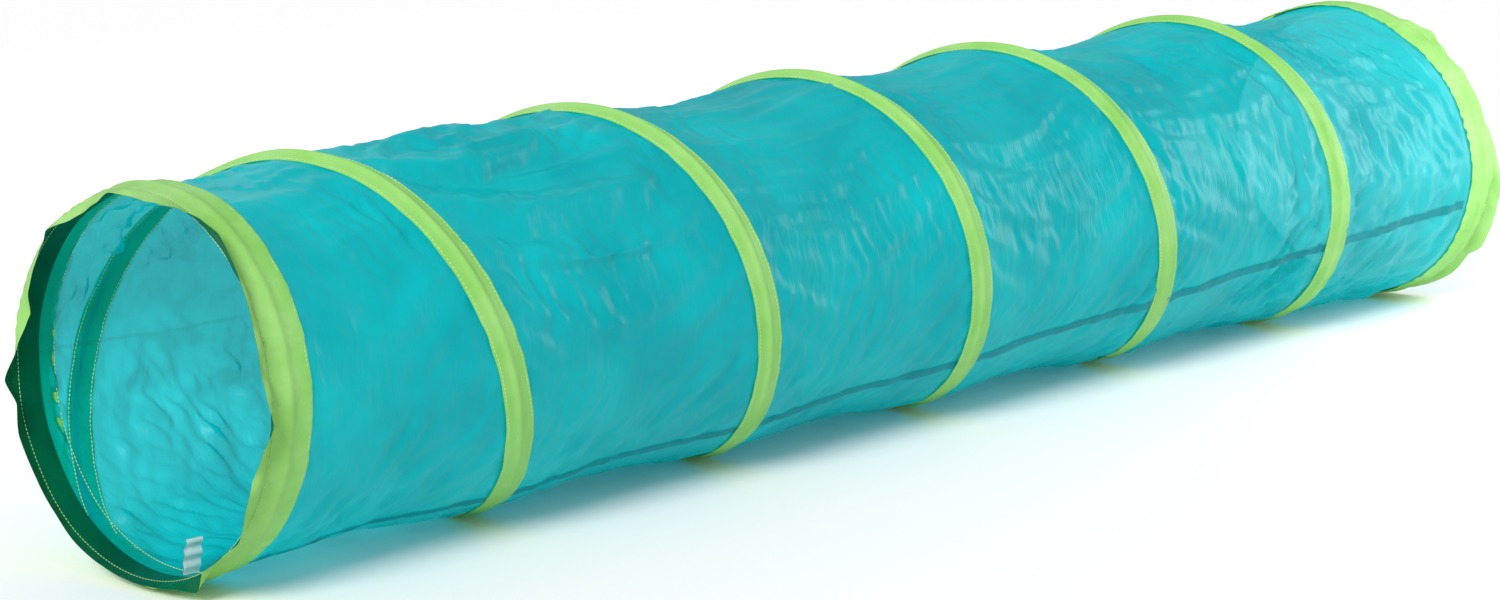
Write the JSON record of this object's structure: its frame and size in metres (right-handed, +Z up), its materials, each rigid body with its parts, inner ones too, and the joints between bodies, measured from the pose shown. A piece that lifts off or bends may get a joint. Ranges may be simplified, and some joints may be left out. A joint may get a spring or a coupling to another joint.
{
  "type": "agility tunnel",
  "caption": "Pop-up fabric tunnel for small animals: a thin tube held open by a spiral spring wire in a contrasting casing, with a loop and a loose hem at each mouth.",
  "frame": {"origin": "on the floor, under the middle of the tunnel, which lies open and fully extended", "axes": "+X along the tunnel from the front mouth to the rear mouth, +Z up, -Y the side where the spring comes down from the top to the bottom"},
  "size_m": [2.049, 0.3986, 0.3963],
  "materials": {
    "teal_taffeta": "thin satin polyester taffeta, slightly see-through",
    "seam_taffeta": "the same taffeta, doubled at the seam",
    "lime_casing": "satin polyester strip",
    "label_tape": "white woven tape, blank",
    "spring_steel": "drawn spring wire",
    "crimp_steel": "zinc plated sleeve"
  },
  "bodies": {
    "front_end": {"front_mouth_casing": "lime_casing", "front_tube_edge": "teal_taffeta", "front_loop": "spring_steel", "front_lead": "spring_steel", "front_ferrule": "crimp_steel", "care_label": "label_tape"},
    "turn_1": {"spring_turn_1": "spring_steel", "spiral_casing_1": "lime_casing", "tube_stretch_1": "teal_taffeta", "seam_stretch_1": "seam_taffeta"},
    "turn_2": {"spring_turn_2": "spring_steel", "spiral_casing_2": "lime_casing", "tube_stretch_2": "teal_taffeta", "seam_stretch_2": "seam_taffeta"},
    "turn_3": {"spring_turn_3": "spring_steel", "spiral_casing_3": "lime_casing", "tube_stretch_3": "teal_taffeta", "seam_stretch_3": "seam_taffeta"},
    "turn_4": {"spring_turn_4": "spring_steel", "spiral_casing_4": "lime_casing", "tube_stretch_4": "teal_taffeta", "seam_stretch_4": "seam_taffeta"},
    "turn_5": {"spring_turn_5": "spring_steel", "spiral_casing_5": "lime_casing", "tube_stretch_5": "teal_taffeta", "seam_stretch_5": "seam_taffeta"},
    "rear_end": {"spring_turn_6": "spring_steel", "spiral_casing_6": "lime_casing", "tube_stretch_6": "teal_taffeta", "seam_stretch_6": "seam_taffeta", "rear_mouth_casing": "lime_casing", "rear_tube_edge": "teal_taffeta", "rear_loop": "spring_steel", "rear_lead": "spring_steel", "rear_ferrule": "crimp_steel"}
  },
  "joints": [
    {"name": "turn_1_slide", "type": "slide", "parent": "front_end", "child": "turn_1", "axis": [-1, 0, 0], "range_m": [0, 0.29], "stiffness_N_per_m": 50, "deforming": ["spring_turn_1", "spiral_casing_1", "tube_stretch_1", "seam_stretch_1"]},
    {"name": "turn_2_slide", "type": "slide", "parent": "turn_1", "child": "turn_2", "axis": [-1, 0, 0], "range_m": [0, 0.29], "stiffness_N_per_m": 50, "deforming": ["spring_turn_2", "spiral_casing_2", "tube_stretch_2", "seam_stretch_2"]},
    {"name": "turn_3_slide", "type": "slide", "parent": "turn_2", "child": "turn_3", "axis": [-1, 0, 0], "range_m": [0, 0.29], "stiffness_N_per_m": 50, "deforming": ["spring_turn_3", "spiral_casing_3", "tube_stretch_3", "seam_stretch_3"]},
    {"name": "turn_4_slide", "type": "slide", "parent": "turn_3", "child": "turn_4", "axis": [-1, 0, 0], "range_m": [0, 0.29], "stiffness_N_per_m": 50, "deforming": ["spring_turn_4", "spiral_casing_4", "tube_stretch_4", "seam_stretch_4"]},
    {"name": "turn_5_slide", "type": "slide", "parent": "turn_4", "child": "turn_5", "axis": [-1, 0, 0], "range_m": [0, 0.29], "stiffness_N_per_m": 50, "deforming": ["spring_turn_5", "spiral_casing_5", "tube_stretch_5", "seam_stretch_5"]},
    {"name": "rear_end_slide", "type": "slide", "parent": "turn_5", "child": "rear_end", "axis": [-1, 0, 0], "range_m": [0, 0.29], "stiffness_N_per_m": 50, "deforming": ["spring_turn_6", "spiral_casing_6", "tube_stretch_6", "seam_stretch_6"]}
  ],
  "couplings": [
    {"joint": "turn_2_slide", "follows": "turn_1_slide", "ratio": 1},
    {"joint": "turn_3_slide", "follows": "turn_1_slide", "ratio": 1},
    {"joint": "turn_4_slide", "follows": "turn_1_slide", "ratio": 1},
    {"joint": "turn_5_slide", "follows": "turn_1_slide", "ratio": 1},
    {"joint": "rear_end_slide", "follows": "turn_1_slide", "ratio": 1}
  ]
}
